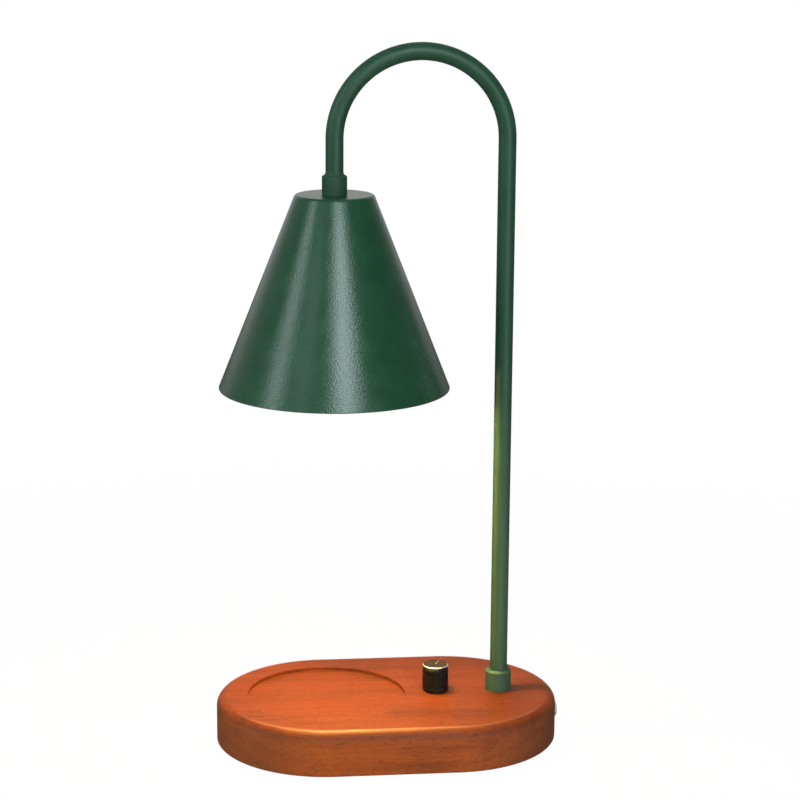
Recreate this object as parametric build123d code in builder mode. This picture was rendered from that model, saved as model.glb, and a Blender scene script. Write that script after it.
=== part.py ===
"""Candle warmer lamp: a wooden base with a dimmer, and a halogen spot under a metal shade.

Millimetres, +Z up. The origin lies on the table under the middle of the base, +X points to
the pole and -Y to the user.
"""

import os
from math import cos, radians, sin

from build123d import *

os.makedirs("parts", exist_ok=True)

# ---- Driving dimensions ----

# the whole lamp
lamp_height = 402.0
wood_screw_diameter = 3.0
wood_sink_angle = 90.0

# wooden base
base_length = 197.0
base_width = 127.0
base_height = 26.0
base_top_round = 6.0
base_bottom_round = 1.0
seat_diameter = 91.0
seat_depth = 2.0
seat_edge_round = 0.4
roof_thickness = 6.0
cavity_length = 82.0
cavity_width = 52.0
cavity_corner = 8.0
cavity_end_wall = 10.5

# bottom cover, its screws and the feet
cover_margin = 7.0
cover_thickness = 2.0
cover_gap = 0.3
rim_inset = 6.0
cover_screw_angle = 75.0
cover_screw_length = 12.0
cover_screw_head = 5.6
foot_angle = 45.0
foot_diameter = 12.0
foot_proud = 1.5
foot_seat_depth = 0.5
foot_round = 0.4

# cord inlet
inlet_height = 12.3
inlet_bore = 4.5
inlet_shank = 6.4
inlet_flange = 8.6
inlet_flange_thickness = 1.6
inlet_flange_round = 1.2
inlet_barb = 7.4
inlet_barb_length = 1.5

# gooseneck
tube_diameter = 10.0
tube_wall = 1.2
pole_inset = 33.0
arch_radius = 48.0
leg_drop = 30.3
tube_tail = 1.0
pole_collar_diameter = 15.0
pole_collar_height = 12.2
pole_collar_chamfer = 1.0
neck_collar_diameter = 14.0
neck_collar_height = 10.4
neck_collar_round = 0.8
weld_width = 1.2
weld_height = 1.8
weld_hollow = 2.7
pole_washer_diameter = 24.0
pole_washer_thickness = 1.2
nut_width = 14.0
nut_height = 3.5
bush_length = 6.0
bush_flange_thickness = 0.8
bush_flange_diameter = 9.2

# shade
shade_top_diameter = 44.0
shade_rim_diameter = 130.0
shade_height = 109.0
shade_wall = 1.0
shade_top_round = 2.0
lock_washer_diameter = 18.0
lock_washer_thickness = 0.8

# lamp holder and its bracket
bracket_sheet = 1.2
bracket_depth = 7.5
bracket_width = 14.0
bracket_web_half = 7.6
bracket_reach = 12.8
holder_diameter = 27.0
holder_body_height = 17.0
holder_lid_height = 3.0
holder_edge_round = 1.0
holder_plate = 3.2
holder_screw_spacing = 18.4
holder_screw_diameter = 3.0
holder_screw_head = 5.5
holder_screw_head_height = 2.0
holder_sink_depth = 3.0
trough_width = 6.0
trough_corner = 1.0
trough_length = 20.4
strip_width = 4.0
strip_thickness = 0.6
strip_spacing = 1.0
lid_hole = 5.2

# bulb
pin_spacing = 10.0
pin_neck = 3.0
pin_head = 5.0
pin_head_height = 3.2
pin_head_round = 0.8
pin_root = 5.0
pin_gap = 0.35
twist_angle = 30.0
bulb_gap = 0.4
bulb_base_diameter = 25.0
bulb_base_height = 16.0
bulb_base_round = 1.5
bulb_diameter = 50.0
reflector_height = 30.0
reflector_rim_height = 3.0
reflector_bulge = 2.6
reflector_inner_bulge = 4.6
reflector_glass = 1.6
reflector_neck = 16.0
reflector_neck_height = 5.0
front_glass_thickness = 1.8
front_glass_round = 0.5
front_glass_lap = 1.1
capsule_diameter = 9.0
capsule_reach = 21.0

# dimmer knob and potentiometer
knob_to_pole = 37.0
knob_diameter = 15.0
knob_height = 15.2
knob_gap = 0.8
knob_skirt_wall = 1.6
knob_hollow_depth = 5.0
knob_boss_diameter = 10.0
flute_count = 30
flute_radius = 0.5
flute_depth = 0.25
flute_margin = 1.2
cap_diameter = 14.6
cap_thickness = 1.4
cap_chamfer = 0.6
cap_dish = 0.25
shaft_diameter = 6.0
shaft_flat = 1.5
shaft_flat_length = 8.0
shaft_reach = 10.0
shaft_root = 5.0
bushing_diameter = 7.0
bushing_length = 5.0
pot_diameter = 16.5
pot_can_height = 7.4
wafer_thickness = 1.6
wafer_tongue_width = 12.0
wafer_tongue_reach = 12.5
terminal_count = 3
terminal_pitch = 4.0
terminal_width = 1.2
terminal_sheet = 0.5
terminal_tail = 1.6
plate_sheet = 1.0
plate_length = 38.0
plate_width = 16.0
plate_screw_spacing = 30.0
plate_screw_length = 5.0
plate_screw_head = 5.5
plate_screw_head_height = 2.0
pot_nut_width = 10.0
pot_nut_height = 2.0
pot_washer_diameter = 12.0
pot_washer_thickness = 0.5
nut_pocket_diameter = 14.0
nut_pocket_depth = 3.2
shaft_hole_diameter = 8.0

# dimmer circuit
board_length = 42.0
board_width = 34.0
board_thickness = 1.6
board_lift = 2.0
board_shift = 1.0
board_hole = 1.8
block_length = 8.0
block_width = 20.0
block_height = 9.0
block_edge = 0.5
block_pitch = 5.0
block_ways = 4
block_entry_height = 3.5
block_entry_diameter = 2.7
block_entry_depth = 4.5
block_screw_diameter = 3.0
block_screw_depth = 3.0
capacitor_size = (13.0, 6.0, 11.0)
capacitor_spot = (-12.5, 12.5)
capacitor_round = 0.4
choke_diameter = 12.6
choke_hole = 5.4
choke_height = 6.0
choke_round = 1.2
choke_spot = (-13.2, -9.6)
triac_size = (8.0, 3.0, 10.5)
triac_spot = (7.0, 12.0)
triac_leg_height = 2.0
triac_leg_width = 0.9
triac_leg_sheet = 0.5
triac_leg_pitch = 2.3
triac_legs = 3
sink_size = (16.0, 1.5, 11.0)
resistor_diameter = 2.4
resistor_length = 6.4
resistor_lead = 0.7
resistor_lift = 0.4
resistor_foot = 1.4
resistor_spots = ((10.2, -12.2), (10.2, -15.4))

# lamp wires
wire_diameter = 1.9
wire_spacing = 2.3
wire_bend = 4.5
wire_sweep = 6.0
wire_exit = 3.0
wire_approach = 7.0

# clearances
slip_gap = 0.05
hole_gap = 0.2
thread_gap = 0.1
running_gap = 0.05

# ---- Places worked out from them ----

base_bottom = foot_proud
base_top = base_bottom + base_height
end_centre_x = (base_length - base_width) / 2
seat_x = -end_centre_x
pole_x = base_length / 2 - pole_inset
knob_x = pole_x - knob_to_pole
shade_x = pole_x - 2 * arch_radius
cavity_roof = base_top - roof_thickness
cavity_x = base_length / 2 - cavity_end_wall - cavity_length / 2
inlet_z = base_bottom + inlet_height
cover_top = base_bottom + cover_thickness

rim_radius = base_width / 2 - cover_margin - rim_inset
cover_screw_sink = (cover_screw_head - wood_screw_diameter) / 2

tube_radius = tube_diameter / 2
arch_z = lamp_height - tube_radius - arch_radius
tube_bore = tube_diameter - 2 * tube_wall
pole_nut_top = cavity_roof - pole_washer_thickness
tube_low_end = pole_nut_top - nut_height - tube_tail
shade_top = arch_z - leg_drop
shade_inner_top = shade_top - shade_wall
shade_rim = shade_top - shade_height
shade_nut_top = shade_inner_top - lock_washer_thickness
bracket_top = shade_nut_top - nut_height
tube_high_end = bracket_top - bracket_sheet - tube_tail
bush_bore = wire_spacing + wire_diameter + 2 * hole_gap

holder_top = bracket_top - bracket_depth
holder_body_top = holder_top - holder_lid_height
holder_bottom = holder_body_top - holder_body_height
pin_radius = pin_spacing / 2
bulb_top = holder_bottom - bulb_gap
pin_head_low = holder_bottom + holder_plate + pin_gap
pin_top = pin_head_low + pin_head_height
chamber_top = pin_top + pin_gap
strip_top = chamber_top + strip_thickness
reflector_top = bulb_top - bulb_base_height
bulb_front = reflector_top - reflector_height

plate_bottom = cavity_roof - plate_sheet
pot_bottom = plate_bottom - pot_can_height
wafer_bottom = pot_bottom - wafer_thickness
knob_bottom = base_top + knob_gap
knob_top = knob_bottom + knob_height
knob_shoulder = knob_top - cap_thickness
shaft_top = knob_bottom + shaft_reach
shaft_bottom = plate_bottom - shaft_root
board_bottom = cover_top + board_lift
board_top = board_bottom + board_thickness
board_x = knob_x + board_shift
block_face_x = board_x + board_length / 2 - block_edge
entry_z = board_top + block_entry_height
block_x = block_face_x - block_length / 2
terminal_y = -(wafer_tongue_reach - terminal_width)


def upright(x):
    """A plane through a vertical axis: local x is the radius and local y the height."""
    return Plane(origin=(x, 0, 0), x_dir=(1, 0, 0), z_dir=(0, -1, 0))


def level(x, y, z):
    """A level plane with its origin on a vertical axis."""
    return Plane(origin=(x, y, z))


def vertical(x):
    """The vertical axis itself."""
    return Axis((x, 0, 0), (0, 0, 1))


def facing_down(x, z):
    """A level plane seen from below, for holes that are sunk from the underside."""
    return Plane(origin=(x, 0, z), x_dir=(1, 0, 0), z_dir=(0, 0, -1))


def rim_points(angle):
    """Four points near the rim, at that angle round the centres of the base's two ends."""
    along = end_centre_x + rim_radius * cos(radians(angle))
    across = rim_radius * sin(radians(angle))
    return [(side * along, row * across) for side in (-1, 1) for row in (-1, 1)]


foot_points = rim_points(foot_angle)
cover_screw_points = rim_points(cover_screw_angle) + [(0, -rim_radius), (0, rim_radius)]


# ---- Wooden base ----

with BuildPart() as wooden_base:
    with BuildSketch(Plane.XY.offset(base_bottom)):
        SlotOverall(base_length, base_width)
    extrude(amount=base_height)
    fillet(wooden_base.edges().group_by(Axis.Z)[-1], radius=base_top_round)
    fillet(wooden_base.edges().group_by(Axis.Z)[0], radius=base_bottom_round)
    # round seat for the candle jar, concentric with the end of the base
    with BuildSketch(level(seat_x, 0, base_top)):
        Circle(seat_diameter / 2)
    extrude(amount=-seat_depth, mode=Mode.SUBTRACT)
    seat_rim = wooden_base.edges().filter_by(GeomType.CIRCLE).filter_by(
        lambda edge: abs(edge.radius - seat_diameter / 2) < slip_gap
    )
    fillet(seat_rim.group_by(Axis.Z)[-1], radius=seat_edge_round)
    # rebate for the bottom cover, and the routed cavity above it
    with BuildSketch(Plane.XY.offset(base_bottom)):
        SlotOverall(
            base_length - 2 * (cover_margin - cover_gap),
            base_width - 2 * (cover_margin - cover_gap),
        )
    extrude(amount=cover_thickness, mode=Mode.SUBTRACT)
    with BuildSketch(level(cavity_x, 0, cover_top)):
        RectangleRounded(cavity_length, cavity_width, cavity_corner)
    extrude(amount=cavity_roof - cover_top, mode=Mode.SUBTRACT)
    # pocket for the potentiometer's nut, and the hole for its shaft
    with BuildSketch(level(knob_x, 0, cavity_roof)):
        Circle(nut_pocket_diameter / 2)
    extrude(amount=nut_pocket_depth, mode=Mode.SUBTRACT)
    with BuildSketch(level(knob_x, 0, cavity_roof)):
        Circle(shaft_hole_diameter / 2)
        with Locations((pole_x - knob_x, 0)):
            Circle(tube_radius + hole_gap)
    extrude(amount=roof_thickness, mode=Mode.SUBTRACT)
    # pilot holes for the dimmer plate's screws and the cover's screws
    with BuildSketch(level(knob_x, 0, cavity_roof)):
        with GridLocations(plate_screw_spacing, 0, 2, 1):
            Circle(wood_screw_diameter / 2 + slip_gap)
    extrude(amount=plate_screw_length - plate_sheet + hole_gap, mode=Mode.SUBTRACT)
    with BuildSketch(Plane.XY.offset(cover_top)):
        with Locations(*cover_screw_points):
            Circle(wood_screw_diameter / 2 + slip_gap)
    extrude(amount=cover_screw_length - cover_thickness + hole_gap, mode=Mode.SUBTRACT)
    # cord inlet through the end wall
    with BuildSketch(Plane.YZ.offset(base_length / 2)):
        with Locations((0, inlet_z)):
            Circle(inlet_shank / 2 + slip_gap)
    extrude(amount=-cavity_end_wall, mode=Mode.SUBTRACT)

with BuildPart() as bottom_cover:
    with BuildSketch(Plane.XY.offset(base_bottom)):
        SlotOverall(base_length - 2 * cover_margin, base_width - 2 * cover_margin)
    extrude(amount=cover_thickness)
    with BuildSketch(Plane.XY.offset(base_bottom)):
        with Locations(*foot_points):
            Circle(foot_diameter / 2 + slip_gap)
    extrude(amount=foot_seat_depth, mode=Mode.SUBTRACT)
    with Locations(facing_down(0, base_bottom)):
        with Locations(*cover_screw_points):
            CounterSinkHole(
                wood_screw_diameter / 2 + slip_gap,
                cover_screw_head / 2 + slip_gap,
                counter_sink_angle=wood_sink_angle,
            )

with BuildPart() as bottom_cover_screws:
    with Locations((0, 0, base_bottom)):
        with Locations(*cover_screw_points):
            Cone(
                cover_screw_head / 2,
                wood_screw_diameter / 2,
                cover_screw_sink,
                align=(Align.CENTER, Align.CENTER, Align.MIN),
            )
            Cylinder(
                wood_screw_diameter / 2,
                cover_screw_length,
                align=(Align.CENTER, Align.CENTER, Align.MIN),
            )

with BuildPart() as rubber_feet:
    with BuildSketch():
        with Locations(*foot_points):
            Circle(foot_diameter / 2)
    extrude(amount=foot_proud + foot_seat_depth)
    fillet(rubber_feet.edges().group_by(Axis.Z)[0], radius=foot_round)

with BuildPart() as cord_grommet:
    with BuildSketch(Plane.XZ):
        with BuildLine():
            Polyline(
                (base_length / 2 + inlet_flange_thickness, inlet_z + inlet_bore / 2),
                (base_length / 2 + inlet_flange_thickness, inlet_z + inlet_flange / 2),
                (base_length / 2, inlet_z + inlet_flange / 2),
                (base_length / 2, inlet_z + inlet_shank / 2),
                (base_length / 2 - cavity_end_wall, inlet_z + inlet_shank / 2),
                (base_length / 2 - cavity_end_wall, inlet_z + inlet_barb / 2),
                (base_length / 2 - cavity_end_wall - inlet_barb_length, inlet_z + inlet_shank / 2),
                (base_length / 2 - cavity_end_wall - inlet_barb_length, inlet_z + inlet_bore / 2),
                close=True,
            )
        make_face()
    revolve(axis=Axis((0, 0, inlet_z), (1, 0, 0)))
    flange_face = cord_grommet.faces().sort_by(Axis.X)[-1]
    fillet(flange_face.edges().sort_by(SortBy.RADIUS)[-1], radius=inlet_flange_round)

# ---- Gooseneck ----

with BuildPart() as gooseneck_tube:
    with BuildLine() as neck_line:
        Line((pole_x, 0, tube_low_end), (pole_x, 0, arch_z))
        ThreePointArc(
            (pole_x, 0, arch_z),
            (pole_x - arch_radius, 0, arch_z + arch_radius),
            (shade_x, 0, arch_z),
        )
        Line((shade_x, 0, arch_z), (shade_x, 0, tube_high_end))
    with BuildSketch(level(pole_x, 0, tube_low_end)):
        Circle(tube_radius)
        Circle(tube_bore / 2, mode=Mode.SUBTRACT)
    sweep()

with BuildPart() as pole_collar:
    with BuildSketch(level(pole_x, 0, base_top)):
        Circle(pole_collar_diameter / 2)
        Circle(tube_radius, mode=Mode.SUBTRACT)
    extrude(amount=pole_collar_height)
    top_face = pole_collar.faces().sort_by(Axis.Z)[-1]
    chamfer(top_face.edges().sort_by(SortBy.RADIUS)[-1], length=pole_collar_chamfer)

with BuildPart() as pole_washer:
    with BuildSketch(level(pole_x, 0, pole_nut_top)):
        Circle(pole_washer_diameter / 2)
        Circle(tube_radius + thread_gap, mode=Mode.SUBTRACT)
    extrude(amount=pole_washer_thickness)

with BuildPart() as pole_nut:
    with BuildSketch(level(pole_x, 0, pole_nut_top)):
        RegularPolygon(nut_width / 2, 6, major_radius=False)
        Circle(tube_radius, mode=Mode.SUBTRACT)
    extrude(amount=-nut_height)

with BuildPart() as neck_collar:
    with BuildSketch(level(shade_x, 0, shade_top)):
        Circle(neck_collar_diameter / 2)
        Circle(tube_radius, mode=Mode.SUBTRACT)
    extrude(amount=neck_collar_height)
    top_face = neck_collar.faces().sort_by(Axis.Z)[-1]
    fillet(top_face.edges().sort_by(SortBy.RADIUS)[-1], radius=neck_collar_round)
    # hollow weld bead between the collar and the tube
    collar_top = shade_top + neck_collar_height
    with BuildSketch(upright(shade_x)):
        with BuildLine():
            Line((tube_radius, collar_top), (tube_radius + weld_width, collar_top))
            RadiusArc(
                (tube_radius + weld_width, collar_top),
                (tube_radius, collar_top + weld_height),
                weld_hollow,
            )
            Line((tube_radius, collar_top + weld_height), (tube_radius, collar_top))
        make_face()
    revolve(axis=vertical(shade_x))

with BuildPart() as lead_bushes:
    for bush_x, end_z in ((pole_x, tube_low_end), (shade_x, tube_high_end)):
        with BuildSketch(level(bush_x, 0, end_z)):
            Circle(bush_flange_diameter / 2)
            Circle(bush_bore / 2, mode=Mode.SUBTRACT)
        extrude(amount=-bush_flange_thickness)
        with BuildSketch(level(bush_x, 0, end_z)):
            Circle(tube_bore / 2 - slip_gap)
            Circle(bush_bore / 2, mode=Mode.SUBTRACT)
        extrude(amount=bush_length)

# ---- Shade ----

with BuildPart() as shade:
    with BuildSketch(upright(shade_x)):
        with BuildLine():
            FilletPolyline(
                (tube_radius + hole_gap, shade_top),
                (shade_top_diameter / 2, shade_top),
                (shade_rim_diameter / 2, shade_rim),
                radius=shade_top_round,
            )
            offset(amount=shade_wall, side=Side.RIGHT)
        make_face()
    revolve(axis=vertical(shade_x))

with BuildPart() as shade_washer:
    with BuildSketch(level(shade_x, 0, shade_nut_top)):
        Circle(lock_washer_diameter / 2)
        Circle(tube_radius + thread_gap, mode=Mode.SUBTRACT)
    extrude(amount=lock_washer_thickness)

with BuildPart() as shade_nut:
    with BuildSketch(level(shade_x, 0, shade_nut_top)):
        RegularPolygon(nut_width / 2, 6, major_radius=False)
        Circle(tube_radius, mode=Mode.SUBTRACT)
    extrude(amount=-nut_height)

# ---- Lamp holder ----

with BuildPart() as holder_bracket:
    with BuildSketch(upright(shade_x)):
        with BuildLine():
            Polyline(
                (-bracket_reach, holder_top),
                (-bracket_web_half + bracket_sheet, holder_top),
                (-bracket_web_half + bracket_sheet, bracket_top - bracket_sheet),
                (bracket_web_half - bracket_sheet, bracket_top - bracket_sheet),
                (bracket_web_half - bracket_sheet, holder_top),
                (bracket_reach, holder_top),
            )
            offset(amount=bracket_sheet, side=Side.LEFT, kind=Kind.INTERSECTION)
        make_face()
    extrude(amount=bracket_width / 2, both=True)
    with BuildSketch(level(shade_x, 0, bracket_top)):
        Circle(tube_radius)
    extrude(amount=-bracket_sheet, mode=Mode.SUBTRACT)
    with BuildSketch(level(shade_x, 0, holder_top)):
        with GridLocations(holder_screw_spacing, 0, 2, 1):
            Circle(holder_screw_diameter / 2)
    extrude(amount=bracket_sheet, mode=Mode.SUBTRACT)

# the keyholes lead from an entry, wide enough for a pin's head, to the locked end at +Y or -Y
keyhole_arcs = [
    CenterArc((0, 0), pin_radius, locked - twist_angle, twist_angle, mode=Mode.PRIVATE)
    for locked in (90, 270)
]
keyhole_entries = [
    (pin_radius * cos(radians(locked - twist_angle)), pin_radius * sin(radians(locked - twist_angle)))
    for locked in (90, 270)
]

with BuildPart() as lamp_holder:
    with BuildSketch(level(shade_x, 0, holder_bottom)):
        Circle(holder_diameter / 2)
    extrude(amount=holder_body_height)
    fillet(lamp_holder.edges().group_by(Axis.Z)[0], radius=holder_edge_round)
    # keyholes through the face plate
    with BuildSketch(level(shade_x, 0, holder_bottom)):
        for arc in keyhole_arcs:
            SlotArc(arc, pin_neck + 2 * pin_gap)
        with Locations(*keyhole_entries):
            Circle(pin_head / 2 + pin_gap)
    extrude(amount=holder_plate, mode=Mode.SUBTRACT)
    # chambers in which the pin heads turn
    with BuildSketch(level(shade_x, 0, holder_bottom + holder_plate)):
        for arc in keyhole_arcs:
            SlotArc(arc, pin_head + 2 * pin_gap)
    extrude(amount=chamber_top - holder_bottom - holder_plate, mode=Mode.SUBTRACT)
    # trough for the contact strips, open to the top
    with BuildSketch(level(shade_x, 0, chamber_top)):
        RectangleRounded(trough_width, trough_length, trough_corner)
    extrude(amount=holder_body_top - chamber_top, mode=Mode.SUBTRACT)
    # through holes for the screws, with their sunk heads
    with Locations(facing_down(shade_x, holder_bottom)):
        with GridLocations(holder_screw_spacing, 0, 2, 1):
            CounterBoreHole(
                holder_screw_diameter / 2 + thread_gap,
                holder_screw_head / 2 + hole_gap,
                holder_sink_depth,
            )

with BuildPart() as holder_lid:
    with BuildSketch(level(shade_x, 0, holder_body_top)):
        Circle(holder_diameter / 2)
        Circle(lid_hole / 2, mode=Mode.SUBTRACT)
        with GridLocations(holder_screw_spacing, 0, 2, 1):
            Circle(holder_screw_diameter / 2 + thread_gap, mode=Mode.SUBTRACT)
    extrude(amount=holder_lid_height)

with BuildPart() as holder_screws:
    with BuildSketch(level(shade_x, 0, holder_bottom + holder_sink_depth)):
        with GridLocations(holder_screw_spacing, 0, 2, 1):
            Circle(holder_screw_diameter / 2)
    extrude(amount=holder_top + bracket_sheet - holder_bottom - holder_sink_depth)
    with BuildSketch(level(shade_x, 0, holder_bottom + holder_sink_depth)):
        with GridLocations(holder_screw_spacing, 0, 2, 1):
            Circle(holder_screw_head / 2)
    extrude(amount=-holder_screw_head_height)

with BuildPart() as holder_contacts:
    strip_reach = trough_length / 2 - hole_gap
    with BuildSketch(level(shade_x, 0, chamber_top)):
        for side in (-1, 1):
            with Locations((0, side * (strip_reach + strip_spacing / 2) / 2)):
                Rectangle(strip_width, strip_reach - strip_spacing / 2)
    extrude(amount=strip_thickness)

# ---- Bulb ----

with BuildPart() as bulb_base:
    with BuildSketch(level(shade_x, 0, bulb_top)):
        Circle(bulb_base_diameter / 2)
    extrude(amount=-bulb_base_height)
    fillet(bulb_base.edges().group_by(Axis.Z)[-1], radius=bulb_base_round)
    with BuildSketch(level(shade_x, 0, bulb_top)):
        with GridLocations(0, pin_spacing, 1, 2):
            Circle(pin_neck / 2)
    extrude(amount=-pin_root, mode=Mode.SUBTRACT)
    with BuildSketch(level(shade_x, 0, reflector_top)):
        Circle(reflector_neck / 2 + slip_gap)
    extrude(amount=reflector_neck_height + slip_gap, mode=Mode.SUBTRACT)

with BuildPart() as bulb_pins:
    with BuildSketch(level(shade_x, 0, bulb_top - pin_root)):
        with GridLocations(0, pin_spacing, 1, 2):
            Circle(pin_neck / 2)
    extrude(amount=pin_head_low - bulb_top + pin_root)
    with BuildSketch(level(shade_x, 0, pin_head_low)):
        with GridLocations(0, pin_spacing, 1, 2):
            Circle(pin_head / 2)
    extrude(amount=pin_head_height)
    fillet(bulb_pins.edges().group_by(Axis.Z)[-1], radius=pin_head_round)

with BuildPart() as bulb_reflector:
    rim_top = bulb_front + reflector_rim_height
    lens_seat = bulb_front + front_glass_thickness
    lens_radius = bulb_diameter / 2 - reflector_glass + front_glass_lap / 2
    throat = capsule_diameter / 2 + slip_gap
    with BuildSketch(upright(shade_x)):
        with BuildLine():
            Polyline(
                (throat, reflector_top + reflector_neck_height),
                (reflector_neck / 2, reflector_top + reflector_neck_height),
                (reflector_neck / 2, reflector_top),
                (bulb_base_diameter / 2, reflector_top),
            )
            SagittaArc(
                (bulb_base_diameter / 2, reflector_top),
                (bulb_diameter / 2, rim_top),
                reflector_bulge,
            )
            Polyline(
                (bulb_diameter / 2, rim_top),
                (bulb_diameter / 2, bulb_front),
                (lens_radius + slip_gap, bulb_front),
                (lens_radius + slip_gap, lens_seat),
                (lens_radius - front_glass_lap, lens_seat),
            )
            SagittaArc(
                (lens_radius - front_glass_lap, lens_seat),
                (throat, reflector_top + reflector_glass),
                -reflector_inner_bulge,
            )
            Line(
                (throat, reflector_top + reflector_glass),
                (throat, reflector_top + reflector_neck_height),
            )
        make_face()
    revolve(axis=vertical(shade_x))

with BuildPart() as bulb_front_glass:
    with BuildSketch(level(shade_x, 0, bulb_front)):
        Circle(lens_radius)
    extrude(amount=front_glass_thickness)
    fillet(bulb_front_glass.edges().group_by(Axis.Z)[0], radius=front_glass_round)

with BuildPart() as bulb_capsule:
    capsule_radius = capsule_diameter / 2
    with BuildSketch(level(shade_x, 0, reflector_top + reflector_neck_height)):
        Circle(capsule_radius)
    extrude(amount=-capsule_reach - reflector_neck_height)
    fillet(bulb_capsule.edges().group_by(Axis.Z)[0], radius=capsule_radius - pin_gap)

# ---- Dimmer knob ----

with BuildPart() as knob_body:
    with BuildSketch(level(knob_x, 0, knob_bottom)):
        Circle(knob_diameter / 2)
    extrude(amount=knob_height - cap_thickness)
    with BuildSketch(level(knob_x, 0, knob_bottom + flute_margin)):
        with PolarLocations(knob_diameter / 2 + flute_radius - flute_depth, flute_count):
            Circle(flute_radius)
    extrude(amount=knob_height - cap_thickness - 2 * flute_margin, mode=Mode.SUBTRACT)
    # hollow skirt round the boss that grips the shaft
    with BuildSketch(level(knob_x, 0, knob_bottom)):
        Circle(knob_diameter / 2 - knob_skirt_wall)
        Circle(knob_boss_diameter / 2, mode=Mode.SUBTRACT)
    extrude(amount=knob_hollow_depth, mode=Mode.SUBTRACT)
    with BuildSketch(level(knob_x, 0, knob_bottom)):
        Circle(shaft_diameter / 2 + slip_gap)
    extrude(amount=shaft_top - knob_bottom + slip_gap, mode=Mode.SUBTRACT)
    with BuildSketch(level(knob_x, 0, shaft_top - shaft_flat_length)):
        Circle(shaft_diameter / 2 + slip_gap)
        with Locations((0, slip_gap - shaft_flat)):
            Rectangle(2 * shaft_diameter, shaft_diameter, mode=Mode.SUBTRACT)
    extrude(amount=shaft_flat_length + slip_gap)

with BuildPart() as knob_cap:
    with BuildSketch(level(knob_x, 0, knob_shoulder)):
        Circle(cap_diameter / 2)
    extrude(amount=cap_thickness)
    chamfer(knob_cap.edges().group_by(Axis.Z)[-1], length=cap_chamfer)
    with BuildSketch(level(knob_x, 0, knob_top)):
        Circle(cap_diameter / 2 - 2 * cap_chamfer)
    extrude(amount=-cap_dish, mode=Mode.SUBTRACT)

with BuildPart() as pot_shaft:
    with BuildSketch(level(knob_x, 0, shaft_bottom)):
        Circle(shaft_diameter / 2)
    extrude(amount=shaft_top - shaft_bottom)
    with BuildSketch(level(knob_x, 0, shaft_top)):
        with Locations((0, shaft_diameter - shaft_flat)):
            Rectangle(2 * shaft_diameter, shaft_diameter)
    extrude(amount=-shaft_flat_length, mode=Mode.SUBTRACT)

# ---- Potentiometer and its plate ----

with BuildPart() as pot_housing:
    with BuildSketch(level(knob_x, 0, pot_bottom)):
        Circle(pot_diameter / 2)
    extrude(amount=pot_can_height)
    with BuildSketch(level(knob_x, 0, plate_bottom)):
        Circle(bushing_diameter / 2)
    extrude(amount=bushing_length)
    with BuildSketch(level(knob_x, 0, shaft_bottom - running_gap)):
        Circle(shaft_diameter / 2 + running_gap)
    extrude(amount=shaft_root + bushing_length + running_gap, mode=Mode.SUBTRACT)

with BuildPart() as pot_wafer:
    with BuildSketch(level(knob_x, 0, wafer_bottom)):
        Circle(pot_diameter / 2)
        with Locations((0, -wafer_tongue_reach / 2)):
            Rectangle(wafer_tongue_width, wafer_tongue_reach)
    extrude(amount=wafer_thickness)
    with BuildSketch(level(knob_x, terminal_y, wafer_bottom)):
        with GridLocations(terminal_pitch, 0, terminal_count, 1):
            Rectangle(terminal_width, terminal_sheet)
    extrude(amount=wafer_thickness, mode=Mode.SUBTRACT)

with BuildPart() as pot_terminals:
    with BuildSketch(level(knob_x, terminal_y, board_bottom - terminal_tail)):
        with GridLocations(terminal_pitch, 0, terminal_count, 1):
            Rectangle(terminal_width, terminal_sheet)
    extrude(amount=pot_bottom + terminal_sheet - board_bottom + terminal_tail)

with BuildPart() as dimmer_plate:
    with BuildSketch(level(knob_x, 0, plate_bottom)):
        SlotOverall(plate_length, plate_width)
        Circle(bushing_diameter / 2 + thread_gap, mode=Mode.SUBTRACT)
        with GridLocations(plate_screw_spacing, 0, 2, 1):
            Circle(wood_screw_diameter / 2 + hole_gap, mode=Mode.SUBTRACT)
    extrude(amount=plate_sheet)

with BuildPart() as dimmer_plate_screws:
    with BuildSketch(level(knob_x, 0, plate_bottom)):
        with GridLocations(plate_screw_spacing, 0, 2, 1):
            Circle(wood_screw_diameter / 2)
    extrude(amount=plate_screw_length)
    with BuildSketch(level(knob_x, 0, plate_bottom)):
        with GridLocations(plate_screw_spacing, 0, 2, 1):
            Circle(plate_screw_head / 2)
    extrude(amount=-plate_screw_head_height)

with BuildPart() as pot_washer:
    with BuildSketch(level(knob_x, 0, cavity_roof)):
        Circle(pot_washer_diameter / 2)
        Circle(bushing_diameter / 2 + thread_gap, mode=Mode.SUBTRACT)
    extrude(amount=pot_washer_thickness)

with BuildPart() as pot_nut:
    with BuildSketch(level(knob_x, 0, cavity_roof + pot_washer_thickness)):
        RegularPolygon(pot_nut_width / 2, 6, major_radius=False)
        Circle(bushing_diameter / 2, mode=Mode.SUBTRACT)
    extrude(amount=pot_nut_height)

# ---- Dimmer circuit ----

with BuildPart() as dimmer_board:
    with BuildSketch(level(board_x, 0, board_bottom)):
        Rectangle(board_length, board_width)
        with Locations((knob_x - board_x, terminal_y)):
            with GridLocations(terminal_pitch, 0, terminal_count, 1):
                Circle(board_hole / 2, mode=Mode.SUBTRACT)
    extrude(amount=board_thickness)

with BuildPart() as terminal_block:
    with BuildSketch(level(block_x, 0, board_top)):
        Rectangle(block_length, block_width)
    extrude(amount=block_height)
    with BuildSketch(Plane.YZ.offset(block_face_x)):
        with Locations((0, entry_z)):
            with GridLocations(block_pitch, 0, block_ways, 1):
                Circle(block_entry_diameter / 2)
    extrude(amount=-block_entry_depth, mode=Mode.SUBTRACT)
    with BuildSketch(level(block_x, 0, board_top + block_height)):
        with GridLocations(0, block_pitch, 1, block_ways):
            Circle(block_screw_diameter / 2 + slip_gap)
    extrude(amount=-block_screw_depth, mode=Mode.SUBTRACT)

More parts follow.
